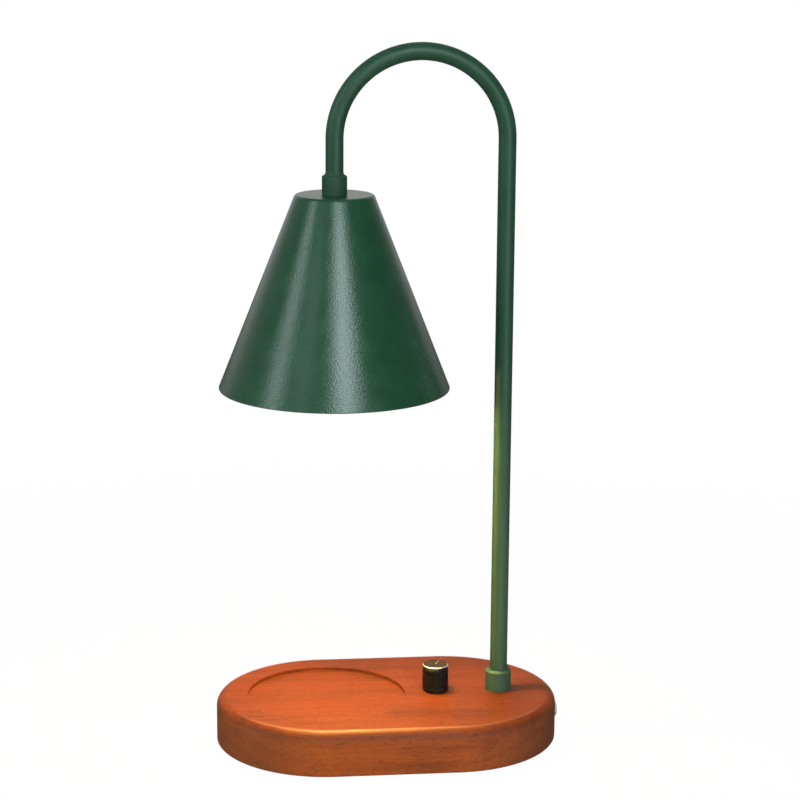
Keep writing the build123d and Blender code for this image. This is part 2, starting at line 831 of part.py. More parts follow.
with BuildPart() as terminal_screws:
    screw_floor = board_top + block_height - block_screw_depth
    with BuildSketch(level(block_x, 0, screw_floor)):
        with GridLocations(0, block_pitch, 1, block_ways):
            Circle(block_screw_diameter / 2)
    extrude(amount=block_screw_depth - 2 * hole_gap)

with BuildPart() as dimmer_capacitor:
    with BuildSketch(level(knob_x + capacitor_spot[0], capacitor_spot[1], board_top)):
        Rectangle(capacitor_size[0], capacitor_size[1])
    extrude(amount=capacitor_size[2])
    fillet(dimmer_capacitor.edges().filter_by(Axis.Z), radius=capacitor_round)

with BuildPart() as dimmer_choke:
    with BuildSketch(level(knob_x + choke_spot[0], choke_spot[1], board_top)):
        Circle(choke_diameter / 2)
        Circle(choke_hole / 2, mode=Mode.SUBTRACT)
    extrude(amount=choke_height)
    fillet(dimmer_choke.edges().group_by(Axis.Z)[-1], radius=choke_round)

triac_x = knob_x + triac_spot[0]
triac_bottom = board_top + triac_leg_height

with BuildPart() as dimmer_triac:
    with BuildSketch(level(triac_x, triac_spot[1], triac_bottom)):
        Rectangle(triac_size[0], triac_size[1])
    extrude(amount=triac_size[2])
    with BuildSketch(level(triac_x, triac_spot[1], board_top)):
        with GridLocations(triac_leg_pitch, 0, triac_legs, 1):
            Rectangle(triac_leg_width, triac_leg_sheet)
    extrude(amount=triac_leg_height)

with BuildPart() as triac_heat_sink:
    sink_y = triac_spot[1] + (triac_size[1] + sink_size[1]) / 2
    with BuildSketch(level(triac_x, sink_y, triac_bottom)):
        Rectangle(sink_size[0], sink_size[1])
    extrude(amount=sink_size[2])

with BuildPart() as board_resistors:
    resistor_z = board_top + resistor_diameter / 2 + resistor_lift
    lead_run = resistor_length / 2 + resistor_foot
    for spot in resistor_spots:
        spot_x = knob_x + spot[0]
        with BuildSketch(Plane.YZ.offset(spot_x - resistor_length / 2)):
            with Locations((spot[1], resistor_z)):
                Circle(resistor_diameter / 2)
        extrude(amount=resistor_length)
        with BuildLine():
            FilletPolyline(
                (spot_x - lead_run, spot[1], board_top),
                (spot_x - lead_run, spot[1], resistor_z),
                (spot_x + lead_run, spot[1], resistor_z),
                (spot_x + lead_run, spot[1], board_top),
                radius=resistor_lead,
            )
        with BuildSketch(level(spot_x - lead_run, spot[1], board_top)):
            Circle(resistor_lead / 2)
        sweep()

# ---- Wires from the dimmer through the neck to the lamp holder ----

with BuildPart() as lamp_wires:
    for side in (-1, 1):
        block_y = side * block_pitch / 2
        neck_y = side * wire_spacing / 2
        wire_start = Vector(block_face_x - block_entry_depth + hole_gap, block_y, entry_z)
        with BuildLine() as wire_line:
            FilletPolyline(
                wire_start,
                (block_face_x + wire_exit, block_y, entry_z),
                (pole_x - wire_approach, neck_y, entry_z),
                (pole_x, neck_y, entry_z),
                (pole_x, neck_y, arch_z),
                radius=(wire_sweep, wire_sweep, wire_bend),
            )
            ThreePointArc(
                (pole_x, neck_y, arch_z),
                (pole_x - arch_radius, neck_y, arch_z + arch_radius),
                (shade_x, neck_y, arch_z),
            )
            Line((shade_x, neck_y, arch_z), (shade_x, neck_y, strip_top))
        with BuildSketch(Plane(origin=wire_start, z_dir=(1, 0, 0))):
            Circle(wire_diameter / 2)
        sweep()

# ---- One file for each sub-part ----

sub_parts = {
    "wooden_base": wooden_base,
    "bottom_cover": bottom_cover,
    "bottom_cover_screws": bottom_cover_screws,
    "rubber_feet": rubber_feet,
    "cord_grommet": cord_grommet,
    "gooseneck_tube": gooseneck_tube,
    "pole_collar": pole_collar,
    "pole_washer": pole_washer,
    "pole_nut": pole_nut,
    "neck_collar": neck_collar,
    "lead_bushes": lead_bushes,
    "shade": shade,
    "shade_washer": shade_washer,
    "shade_nut": shade_nut,
    "holder_bracket": holder_bracket,
    "lamp_holder": lamp_holder,
    "holder_lid": holder_lid,
    "holder_screws": holder_screws,
    "holder_contacts": holder_contacts,
    "bulb_base": bulb_base,
    "bulb_pins": bulb_pins,
    "bulb_reflector": bulb_reflector,
    "bulb_front_glass": bulb_front_glass,
    "bulb_capsule": bulb_capsule,
    "knob_body": knob_body,
    "knob_cap": knob_cap,
    "pot_shaft": pot_shaft,
    "pot_housing": pot_housing,
    "pot_wafer": pot_wafer,
    "pot_terminals": pot_terminals,
    "dimmer_plate": dimmer_plate,
    "dimmer_plate_screws": dimmer_plate_screws,
    "pot_washer": pot_washer,
    "pot_nut": pot_nut,
    "dimmer_board": dimmer_board,
    "terminal_block": terminal_block,
    "terminal_screws": terminal_screws,
    "dimmer_capacitor": dimmer_capacitor,
    "dimmer_choke": dimmer_choke,
    "dimmer_triac": dimmer_triac,
    "triac_heat_sink": triac_heat_sink,
    "board_resistors": board_resistors,
    "lamp_wires": lamp_wires,
}

for node, sub_part in sub_parts.items():
    sub_part.part.label = node
    export_step(sub_part.part, f"parts/{node}.step")
    print(f"{node}: {len(sub_part.part.solids())} solids, {sub_part.part.volume:.1f} mm3")
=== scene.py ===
from math import cos, pi, radians, sin, tan

import bmesh
import bpy
from mathutils import Matrix, Vector


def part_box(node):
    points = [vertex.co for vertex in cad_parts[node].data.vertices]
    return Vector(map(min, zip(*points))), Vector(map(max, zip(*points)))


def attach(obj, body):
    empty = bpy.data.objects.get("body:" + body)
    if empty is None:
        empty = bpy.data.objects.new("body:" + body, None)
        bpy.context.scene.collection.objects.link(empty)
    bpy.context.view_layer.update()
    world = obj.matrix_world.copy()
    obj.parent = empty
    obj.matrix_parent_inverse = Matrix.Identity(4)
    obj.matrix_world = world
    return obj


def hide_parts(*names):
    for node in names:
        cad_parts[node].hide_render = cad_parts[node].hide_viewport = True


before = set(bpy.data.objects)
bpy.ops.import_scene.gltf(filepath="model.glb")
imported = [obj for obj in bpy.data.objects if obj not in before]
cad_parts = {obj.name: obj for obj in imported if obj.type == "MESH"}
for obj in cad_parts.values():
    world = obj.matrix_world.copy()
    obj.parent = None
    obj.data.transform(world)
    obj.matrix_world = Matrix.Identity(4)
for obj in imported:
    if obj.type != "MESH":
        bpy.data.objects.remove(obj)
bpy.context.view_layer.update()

mm = 0.001
print("frame loaded:", len(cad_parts), "nodes")


class Wire:
    # a node's output that takes part in plain expressions

    def __init__(self, tree, socket=None):
        self.tree = tree
        self.socket = socket

    def node(self, kind, settings=None, inputs=None, output=0):
        made = self.tree.nodes.new(kind)
        for key, value in (settings or {}).items():
            setattr(made, key, value)
        for key, value in (inputs or {}).items():
            if isinstance(value, Wire):
                self.tree.links.new(value.socket, made.inputs[key])
            else:
                made.inputs[key].default_value = value
        return Wire(self.tree, made.outputs[output])

    def maths(self, operation, *others):
        return self.node("ShaderNodeMath", {"operation": operation}, dict(enumerate((self, *others))))

    def reflected(self, operation, other):
        # the same with this one last
        return self.node("ShaderNodeMath", {"operation": operation}, {0: other, 1: self})

    def __add__(self, other):
        return self.maths("ADD", other)

    def __radd__(self, other):
        return self.reflected("ADD", other)

    def __sub__(self, other):
        return self.maths("SUBTRACT", other)

    def __rsub__(self, other):
        return self.reflected("SUBTRACT", other)

    def __mul__(self, other):
        return self.maths("MULTIPLY", other)

    def __rmul__(self, other):
        return self.reflected("MULTIPLY", other)

    def __truediv__(self, other):
        return self.maths("DIVIDE", other)

    def __pow__(self, other):
        return self.maths("POWER", other)

    def __lt__(self, other):
        return self.maths("LESS_THAN", other)

    def __gt__(self, other):
        return self.maths("GREATER_THAN", other)

    def split(self):
        parts = self.node("ShaderNodeSeparateXYZ", inputs={0: self}).socket.node
        return [Wire(self.tree, part) for part in parts.outputs]

    def vector(self, x, y, z):
        return self.node("ShaderNodeCombineXYZ", inputs={0: x, 1: y, 2: z})

    def place(self):
        return self.node("ShaderNodeTexCoord", output="Object")

    def noise(self, marks, detail=2.0, rough=0.5):
        # marks is how many there are in a metre along x, y and z
        spread = self.node("ShaderNodeVectorMath", {"operation": "MULTIPLY"}, {0: self, 1: marks})
        sizes = {"Vector": spread, "Scale": 1.0, "Detail": detail, "Roughness": rough}
        return self.node("ShaderNodeTexNoise", inputs=sizes)

    def between(self, low, high):
        # 0 at low and 1 at high, with soft ends
        limits = {"Value": self, "From Min": low, "From Max": high}
        return self.node("ShaderNodeMapRange", {"interpolation_type": "SMOOTHSTEP"}, limits)

    def blend(self, first, second):
        inputs = {0: self, 6: first, 7: second}
        return self.node("ShaderNodeMix", {"data_type": "RGBA"}, inputs, output=2)

    def bump(self, strength, height):
        inputs = {"Height": self, "Strength": strength, "Distance": height}
        return self.node("ShaderNodeBump", inputs=inputs)


def fromAxis(x, y):
    return (x * x + y * y) ** 0.5


def inMetres(lengths):
    return [length * mm for length in lengths]


def tone(red, green, blue):
    # a screen colour, 0 to 255, as Blender's linear one, by the sRGB curve
    parts = (part / 255 for part in (red, green, blue))
    return (*(part / 12.92 if part <= 0.04 else ((part + 0.055) / 1.055) ** 2.4 for part in parts), 1)


def finish(name, plain, varying=None):
    made = bpy.data.materials.new(name)
    made.use_nodes = True
    shader = made.node_tree.nodes["Principled BSDF"]
    for key, value in plain.items():
        shader.inputs[key].default_value = value
    for key, wire in (varying(Wire(made.node_tree)) if varying else {}).items():
        made.node_tree.links.new(wire.socket, shader.inputs[key])
    return made


# the fine, slightly uneven grain that every plain finish has
grain = {"detail": 3.0, "from": (0.3, 0.7), "roughSpread": 0.1, "height": 0.2}


def mottled(light, dark, marks, rough, bump=0.0):
    def varying(w):
        speckle = w.place().noise((marks,) * 3, grain["detail"])
        made = {
            "Base Color": speckle.between(*grain["from"]).blend(light, dark),
            "Roughness": rough + (speckle - 0.5) * grain["roughSpread"],
        }
        if bump:
            made["Normal"] = speckle.bump(bump, grain["height"] * mm)
        return made

    return varying


def dress(finishOf):
    for node, made in finishOf.items():
        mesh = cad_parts[node].data
        mesh.materials.clear()
        mesh.materials.append(made)


def boxInMm(node):
    return [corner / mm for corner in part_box(node)]


def middle(node):
    low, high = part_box(node)
    return (low + high) / 2


def rounded(corners, steps=6):
    # (radius, height, rounding) corners to one smooth outline
    line = []
    for i, (across, up, rounding) in enumerate(corners):
        here = Vector((across, up))
        if not rounding:
            line.append(here)
            continue
        back = (Vector(corners[i - 1][:2]) - here).normalized()
        on = (Vector(corners[(i + 1) % len(corners)][:2]) - here).normalized()
        half = back.angle(on) / 2
        centre = here + (back + on).normalized() * (rounding / sin(half))
        start = here + back * (rounding / tan(half)) - centre
        end = here + on * (rounding / tan(half)) - centre
        line += [
            centre + start.lerp(end, k / steps).normalized() * rounding for k in range(steps + 1)
        ]
    return line


def placed(name, mesh, sharp=35):
    mesh.set_sharp_from_angle(angle=radians(sharp))
    piece = bpy.data.objects.new(name, mesh)
    bpy.context.scene.collection.objects.link(piece)
    return piece


def turned(name, outline, finishes, centre, around, closed=True, finishAt=None, flat=None):
    # an outline in mm spun round a vertical line; finishAt picks a finish by the band's middle,
    # and the faces of the finish numbered flat stay flat
    work = bmesh.new()
    rings = []
    for across, up in outline:
        angles = [2 * pi * i / around for i in range(around if across else 1)]
        rings.append([
            work.verts.new((centre.x + across * mm * cos(a), centre.y + across * mm * sin(a), up * mm))
            for a in angles
        ])
    for k in range(len(rings) if closed else len(rings) - 1):
        low, high = rings[k], rings[(k + 1) % len(rings)]
        between = (Vector(outline[k]) + Vector(outline[(k + 1) % len(rings)])) / 2
        for i in range(around):
            here, on = i % around, (i + 1) % around
            spots = (low, here), (low, on), (high, on), (high, here)
            corners = list(dict.fromkeys(ring[spot % len(ring)] for ring, spot in spots))
            if len(corners) < 3:  # both rings are points on the axis
                continue
            face = work.faces.new(corners)
            face.material_index = finishAt(between) if finishAt else 0
            face.smooth = face.material_index != flat
    bmesh.ops.recalc_face_normals(work, faces=work.faces)
    mesh = bpy.data.meshes.new(name)
    work.to_mesh(mesh)
    work.free()
    for made in finishes:
        mesh.materials.append(made)
    return mesh


def evaluated(piece):
    graph = bpy.context.evaluated_depsgraph_get()
    return bpy.data.meshes.new_from_object(piece.evaluated_get(graph))


def grown(name, sizes, build, start=None, thickness=0.0):
    # runs a Geometry Nodes tree once on a start mesh and returns a plain mesh
    tree = bpy.data.node_groups.new(name, "GeometryNodeTree")
    tree.interface.new_socket("Geometry", in_out="OUTPUT", socket_type="NodeSocketGeometry")
    tree.interface.new_socket("Geometry", in_out="INPUT", socket_type="NodeSocketGeometry")
    kinds = {
        int: "NodeSocketInt",
        float: "NodeSocketFloat",
        bpy.types.Object: "NodeSocketObject",
        bpy.types.Material: "NodeSocketMaterial",
    }
    carrier = bpy.data.objects.new(name + "Start", start or bpy.data.meshes.new(name + "Start"))
    bpy.context.scene.collection.objects.link(carrier)
    shape = carrier.modifiers.new("shape", "NODES")
    shape.node_group = tree
    for label, value in sizes.items():
        socket = tree.interface.new_socket(label, in_out="INPUT", socket_type=kinds[type(value)])
        shape[socket.identifier] = value
    inlet = tree.nodes.new("NodeGroupInput")
    named = {label: Wire(tree, inlet.outputs[label]) for label in ("Geometry", *sizes)}
    made = build(Wire(tree), named)
    made = made.node("GeometryNodeRealizeInstances", inputs={"Geometry": made})
    made = made.node("GeometryNodeSetMaterial", inputs={"Geometry": made, "Material": named["Finish"]})
    tree.links.new(made.socket, tree.nodes.new("NodeGroupOutput").inputs["Geometry"])
    if thickness:
        wall = carrier.modifiers.new("wall", "SOLIDIFY")
        wall.thickness = thickness
        wall.offset = -1
    mesh = evaluated(carrier)
    bpy.data.objects.remove(carrier)
    return mesh


# finishes of the small pieces: light and dark tone, marks a metre, roughness, bump, metal share
smallFinishes = {
    "whiteEnamel": (tone(226, 221, 208), tone(216, 210, 195), 90, 0.38, 0.05, 0.0),
    "zincSteel": (tone(178, 178, 174), tone(152, 152, 148), 400, 0.32, 0.05, 1.0),
    "brass": (tone(214, 178, 104), tone(196, 158, 84), 400, 0.3, 0.0, 1.0),
    "nickel": (tone(200, 200, 198), tone(182, 182, 180), 400, 0.22, 0.0, 1.0),
    "glassBack": (tone(214, 212, 206), tone(198, 196, 190), 300, 0.25, 0.05, 0.0),
    "ceramic": (tone(228, 224, 216), tone(216, 211, 200), 200, 0.3, 0.05, 0.0),
    "footRubber": (tone(34, 33, 32), tone(24, 24, 24), 700, 0.75, 0.1, 0.0),
    "grommetRubber": (tone(174, 164, 148), tone(154, 144, 130), 500, 0.5, 0.08, 0.0),
    "boardResin": (tone(30, 92, 52), tone(24, 78, 44), 500, 0.4, 0.0, 0.0),
    "blockPlastic": (tone(40, 104, 160), tone(34, 92, 146), 500, 0.35, 0.0, 0.0),
    "darkPlastic": (tone(34, 34, 36), tone(26, 26, 28), 500, 0.5, 0.0, 0.0),
    "wireSleeve": (tone(222, 216, 200), tone(208, 202, 186), 600, 0.45, 0.0, 0.0),
}
small = {
    name: finish(name, {"Metallic": metal}, mottled(*looks))
    for name, (*looks, metal) in smallFinishes.items()
}

coat = {
    "tone": tone(22, 60, 39),
    "paler": tone(26, 66, 44),
    "palerFrom": (0.3, 0.7),
    "clouds": ((70, 70, 70), 3.0),
    "cloudRough": 0.10,
    "peel": ((1150, 1150, 1150), 2.0),  # the orange peel of the powder
    "peelHeight": 0.25,
    # roughness, depth of the peel and mirror share on each piece
    "shade": (0.21, 0.5, 0.42),
    "neck": (0.43, 0.25, 0.34),
    "collars": (0.62, 0.3, 0.37),
}


def coatOn(piece):
    rough, peelDepth, mirror = coat[piece]

    def powderCoat(w):
        place = w.place()
        peel = place.noise(*coat["peel"])
        clouds = place.noise(*coat["clouds"])
        return {
            "Base Color": clouds.between(*coat["palerFrom"]).blend(coat["tone"], coat["paler"]),
            "Roughness": rough + clouds * coat["cloudRough"],
            "Normal": peel.bump(peelDepth, coat["peelHeight"] * mm),
        }

    return finish(piece + "Coat", {"Specular IOR Level": mirror}, powderCoat)


# the shade is a spun cone with a flat top, coated outside and white inside
shade = {
    "topWidth": 44.0,
    "topRounding": 2.0,
    "wall": 1.0,
    "hole": 10.1,
    "rimRounding": 0.42,
    "rimRise": 0.38,  # from the lowest point to the cone's outer corner
    "coatPastLip": 0.3,  # how far the outer coat reaches round the rim
    "coatPastMiddle": 0.05,
    "segments": 192,
}


def makeShade():
    low, high = boxInMm("shade")
    rim, top = (high.y - low.y) / 2, shade["topWidth"] / 2
    wall, hole = shade["wall"], shade["hole"] / 2
    slope = Vector((rim - top, low.z - high.z)).normalized()
    inward = Vector((slope.y, -slope.x)) * wall  # square to the cone, into the shade
    outerRim = Vector((rim, low.z + shade["rimRise"]))
    innerRim = outerRim + inward
    innerTop = high.z - wall
    innerRadius = innerRim.x - slope.x * (innerTop - innerRim.y) / -slope.y
    outline = rounded([
        (hole, high.z, 0),
        (top, high.z, shade["topRounding"]),
        (outerRim.x, outerRim.y, shade["rimRounding"]),
        (innerRim.x, innerRim.y, shade["rimRounding"]),
        (innerRadius, innerTop, shade["topRounding"] - wall),
        (hole, innerTop, 0),
    ])
    halfway = outerRim + inward / 2

    def side(spot):
        # 1 is the enamel inside, from just past the wall's middle
        past = inward.dot(spot - halfway) > shade["coatPastMiddle"]
        aboveLip = slope.dot(spot - halfway) < shade["coatPastLip"]
        return int(past and aboveLip and spot.y < high.z - wall / 2)

    finishes = [coatOn("shade"), small["whiteEnamel"]]
    axis = middle("shade")
    mesh = turned("shadeShell", outline, finishes, axis, around=shade["segments"], finishAt=side)
    piece = placed("shadeShell", mesh)
    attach(piece, "lamp")
    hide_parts("shade")


makeShade()

# the gooseneck is one tube, bent over a half circle
neck = {
    "bendSteps": 96,
    "ringPoints": 64,
    "wall": 1.2,
    "belowNut": 2.2,  # the leg's end, past the shade's nut and the holder's bracket
    "sharp": 40,
}


def bentTube(w, size):
    # the first point is the pole's low end, the last one is the leg's, and the rest make the arch
    index = w.node("GeometryNodeInputIndex")
    turn = ((index - 1) / size["Steps"]).maths("MAXIMUM", 0.0).maths("MINIMUM", 1.0) * pi
    reach = (size["Pole X"] - size["Leg X"]) * 0.5
    across = (size["Pole X"] + size["Leg X"]) * 0.5 + reach * turn.maths("COSINE")
    up = size["Arch Z"] + reach * turn.maths("SINE")
    up = up - (index < 0.5) * (size["Arch Z"] - size["Pole End Z"])
    up = up - (index > size["Steps"] + 1.5) * (size["Arch Z"] - size["Leg End Z"])
    spot = w.vector(across, 0.0, up)
    line = w.node("GeometryNodeMeshLine", inputs={"Count": size["Steps"] + 3})
    line = w.node("GeometryNodeSetPosition", inputs={"Geometry": line, "Position": spot})
    line = w.node("GeometryNodeMeshToCurve", inputs={"Mesh": line})
    circle = {"Resolution": size["Ring Points"], "Radius": size["Radius"]}
    ring = w.node("GeometryNodeCurvePrimitiveCircle", inputs=circle)
    tube = w.node("GeometryNodeCurveToMesh", inputs={"Curve": line, "Profile Curve": ring})
    return w.node("GeometryNodeSetShadeSmooth", inputs={"Geometry": tube})


def makeNeck():
    low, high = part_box("gooseneck_tube")
    radius = (high.y - low.y) / 2
    sizes = {
        "Steps": neck["bendSteps"],
        "Ring Points": neck["ringPoints"],
        "Pole X": high.x - radius,
        "Leg X": low.x + radius,
        "Arch Z": high.z - (high.x - low.x) / 2,
        "Pole End Z": low.z,
        "Leg End Z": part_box("shade_nut")[0].z - neck["belowNut"] * mm,
        "Radius": radius,
        "Finish": coatOn("neck"),
    }
    mesh = grown("neckTube", sizes, bentTube, thickness=neck["wall"] * mm)
    piece = placed("neckTube", mesh, neck["sharp"])
    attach(piece, "lamp")
    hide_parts("gooseneck_tube")


makeNeck()
print("shade and gooseneck made")

# the dimmer knob is gloss black with fine flutes
knob = {
    "flutes": 30,
    "flutePoints": 16,
    "fluteDepth": 0.15,
    "fluteSharpness": 5.0,
    "plainBand": 1.2,
    "runOut": 0.7,
    "runOutRows": 5,
    "topEdge": 0.35,
    "footEdge": 0.2,
    "skirtWall": 1.6,
    "hollow": 5.0,
    "boss": 10.0,
    "bore": 6.1,
    "overShaft": 0.05,
    "outerSkin": 0.1,  # only what lies this close to the outside is fluted
    "sharp": 40,
    "mirror": 0.2,
    "looks": (tone(7, 7, 9), tone(11, 11, 13), 300, 0.28),
}
knobAxis = middle("knob_body")
knobBlack = finish("knobBlack", {"Specular IOR Level": knob["mirror"]}, mottled(*knob["looks"]))


def flutedBody(w, size):
    x, y, z = w.node("GeometryNodeInputPosition").split()
    x = x - size["Axis X"]
    y = y - size["Axis Y"]
    radius = fromAxis(x, y)
    ripple = (y.maths("ARCTAN2", x) * size["Flutes"]).maths("COSINE")
    groove = (ripple * 0.5 + 0.5) ** size["Sharpness"]
    band = z.between(size["Low"], size["Low"] + size["Run-out"])
    band = band * (1 - z.between(size["High"] - size["Run-out"], size["High"]))
    depth = groove * band * (radius > size["Outside"]) * size["Depth"]
    shift = w.vector(0.0 - depth * x / radius, 0.0 - depth * y / radius, 0.0)
    return w.node("GeometryNodeSetPosition", inputs={"Geometry": size["Geometry"], "Offset": shift})


def makeKnobBody():
    low, high = boxInMm("knob_body")
    radius = (high.x - low.x) / 2
    floor, top = low.z + knob["plainBand"], high.z - knob["plainBand"]
    steps = [knob["runOut"] * k / knob["runOutRows"] for k in range(knob["runOutRows"] + 1)]
    rows = [(radius, floor + step, 0) for step in steps]
    rows += [(radius, top - step, 0) for step in reversed(steps)]
    bore, boss = knob["bore"] / 2, knob["boss"] / 2
    skirt, ceiling = radius - knob["skirtWall"], low.z + knob["hollow"]
    boreTop = boxInMm("pot_shaft")[1].z + knob["overShaft"]
    outline = rounded([
        (radius, low.z, knob["footEdge"]), *rows, (radius, high.z, knob["topEdge"]),
        (0, high.z, 0), (0, boreTop, 0), (bore, boreTop, 0), (bore, low.z, 0),
        (boss, low.z, 0), (boss, ceiling, 0), (skirt, ceiling, 0), (skirt, low.z, 0),
    ])
    blank = turned("knobBlank", outline, [], knobAxis, around=knob["flutes"] * knob["flutePoints"])
    sizes = {
        "Axis X": knobAxis.x,
        "Axis Y": knobAxis.y,
        "Flutes": knob["flutes"],
        "Depth": knob["fluteDepth"] * mm,
        "Sharpness": knob["fluteSharpness"],
        "Outside": (radius - knob["outerSkin"]) * mm,
        "Low": floor * mm,
        "High": top * mm,
        "Run-out": knob["runOut"] * mm,
        "Finish": knobBlack,
    }
    mesh = grown("knobBody", sizes, flutedBody, start=blank)
    piece = placed("knobBody", mesh, knob["sharp"])
    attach(piece, "dimmer_knob")
    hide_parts("knob_body")


# its cap is turned metal with a bright bevel and a pointer line, and black on its side
cap = {
    "bevel": 0.34,
    "land": 0.25,
    "dish": 0.06,
    "dishSlope": 0.15,
    "edge": 0.08,
    "segments": 128,
    "sharp": 25,
    "marks": 9000.0,
    "lean": 0.75,
    "flatMiddle": 0.05,
    "pointerTurn": 68.0,
    "pointerWidth": 0.5,
    "pointerFrom": (0.5, 0.7),
    "pointerSoft": 0.7,  # the share of its half width where the pointer starts to fade
    "faceTone": tone(134, 112, 86),
    "pointerTone": tone(222, 212, 198),
    "faceRough": 0.20,
    "pointerRough": 0.2,
    "faceMirror": (0.5, 0.45, 0.4, 1),
    "bevelMetal": 0.55,
    "bevelLooks": (tone(214, 204, 200), tone(202, 192, 188), 900, 0.45),
}


def turnedMetal(w):
    # fine turning marks lean the surface in and out from the axis, which spreads the shine in sectors
    x, y = w.place().split()[:2]
    x = x - knobAxis.x
    y = y - knobAxis.y
    radius = fromAxis(x, y)
    inputs = {"W": radius * cap["marks"], "Scale": 1.0}
    marks = w.node("ShaderNodeTexNoise", {"noise_dimensions": "1D"}, inputs)
    lean = (marks - 0.5) * cap["lean"] * 2 / (radius + cap["flatMiddle"] * mm)
    along, square = cos(radians(cap["pointerTurn"])), sin(radians(cap["pointerTurn"]))
    aside = (x * square - y * along).maths("ABSOLUTE")
    half = cap["pointerWidth"] * mm / 2
    line = 1 - aside.between(half * cap["pointerSoft"], half)
    line = line * (x * along + y * square).between(*inMetres(cap["pointerFrom"]))
    tilt = w.vector(x * lean, y * lean, 1.0)
    facing = {"vector_type": "NORMAL", "convert_from": "OBJECT", "convert_to": "WORLD"}
    return {
        "Base Color": line.blend(cap["faceTone"], cap["pointerTone"]),
        "Roughness": cap["faceRough"] + line * cap["pointerRough"],
        "Normal": w.node("ShaderNodeVectorTransform", facing, {0: tilt}),
    }


def makeKnobCap():
    low, high = boxInMm("knob_cap")
    radius = (high.x - low.x) / 2
    flatEdge, sideTop = radius - cap["bevel"], high.z - cap["bevel"]
    inner, floor = flatEdge - cap["land"], high.z - cap["dish"]
    outline = rounded([
        (0, floor, 0),
        (inner - cap["dishSlope"], floor, 0),
        (inner, high.z, 0),
        (flatEdge, high.z, cap["edge"]),
        (radius, sideTop, cap["edge"]),
        (radius, low.z, 0),
        (0, low.z, 0),
    ], 3)
    face = {"Metallic": 1.0, "Specular Tint": cap["faceMirror"]}
    bevel = {"Metallic": cap["bevelMetal"]}
    finishes = [
        finish("bevelMetal", bevel, mottled(*cap["bevelLooks"])),
        finish("turnedMetal", face, turnedMetal),
        knobBlack,
    ]

    def side(spot):
        if spot.y < sideTop:
            return 2
        return 1 if spot.x < flatEdge else 0

    mesh = turned("knobCap", outline, finishes, knobAxis, cap["segments"], closed=False, finishAt=side)
    piece = placed("knobCap", mesh, cap["sharp"])
    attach(piece, "dimmer_knob")
    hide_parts("knob_cap")


makeKnobBody()
makeKnobCap()
print("knob made")

# one turned screw with a cross recess is set on points, each with a turn of its own
recess = {
    "span": 2.6,
    "width": 0.62,
    "depth": 1.0,
    "taper": 0.55,
    "narrowing": 0.75,
    "clear": 0.5,  # how far outside the head the cutter starts
}
screwSegments = 44
screwTurns = 7  # the seed of their turns


def crossCutter(name):
    # one closed cross that narrows towards its tip
    work = bmesh.new()
    rings = []
    for up, taper, narrowing in (
        (-recess["clear"], 1, 1),
        (recess["depth"], recess["taper"], recess["narrowing"]),
    ):
        arm, half = recess["span"] * taper / 2, recess["width"] * narrowing / 2
        corners = [
            Matrix.Rotation(quarter * pi / 2, 2) @ Vector(corner)
            for quarter in range(4)
            for corner in ((arm, -half), (arm, half), (half, half))
        ]
        rings.append([work.verts.new((corner.x * mm, corner.y * mm, up * mm)) for corner in corners])
    low, high = rings
    for i in range(len(low)):
        work.faces.new((low[i - 1], low[i], high[i], high[i - 1]))
    for ring in rings:
        work.faces.new(ring)
    bmesh.ops.recalc_face_normals(work, faces=work.faces)
    mesh = bpy.data.meshes.new(name)
    work.to_mesh(mesh)
    work.free()
    return bpy.data.objects.new(name, mesh)


def crossedScrew(name, outline):
    # head at the origin, shank up
    mesh = turned(name, outline, [small["zincSteel"]], Vector((0, 0)), screwSegments, closed=False)
    screw = bpy.data.objects.new(name, mesh)
    cutter = crossCutter(name + "Cut")
    for made in (screw, cutter):
        bpy.context.scene.collection.objects.link(made)
    cut = screw.modifiers.new("recess", "BOOLEAN")
    cut.object = cutter
    cut.operation = "DIFFERENCE"
    cut.solver = "EXACT"
    mesh = evaluated(screw)
    for made in (screw, cutter):
        bpy.data.objects.remove(made)
    return placed(name, mesh)


def onPoints(w, size):
    screw = w.node("GeometryNodeObjectInfo", inputs={"Object": size["Screw"]}, output="Geometry")
    turns = {"Max": size["Turn"], "Seed": size["Seed"]}
    spin = w.node("FunctionNodeRandomValue", inputs=turns, output=1)
    points = w.node("GeometryNodeMeshToPoints", inputs={"Mesh": size["Geometry"]})
    inputs = {"Points": points, "Instance": screw, "Rotation": w.vector(0.0, 0.0, spin)}
    return w.node("GeometryNodeInstanceOnPoints", inputs=inputs)


def setScrews(name, node, screw, places):
    start = bpy.data.meshes.new(name + "Places")
    start.from_pydata(places, [], [])
    sizes = {"Screw": screw, "Turn": 2 * pi, "Seed": screwTurns, "Finish": small["zincSteel"]}
    piece = placed(name, grown(name, sizes, onPoints, start=start))
    bpy.data.objects.remove(screw)
    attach(piece, "lamp")
    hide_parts(node)


# countersunk screws of the cover: two on the long sides and one towards each corner
coverScrew = {
    "head": 5.6,
    "headRim": 0.2,
    "headRounding": 0.1,
    "shank": 3.0,
    "point": 1.6,
    "rimInset": 13.0,
    "cornerTurn": 75.0,
}


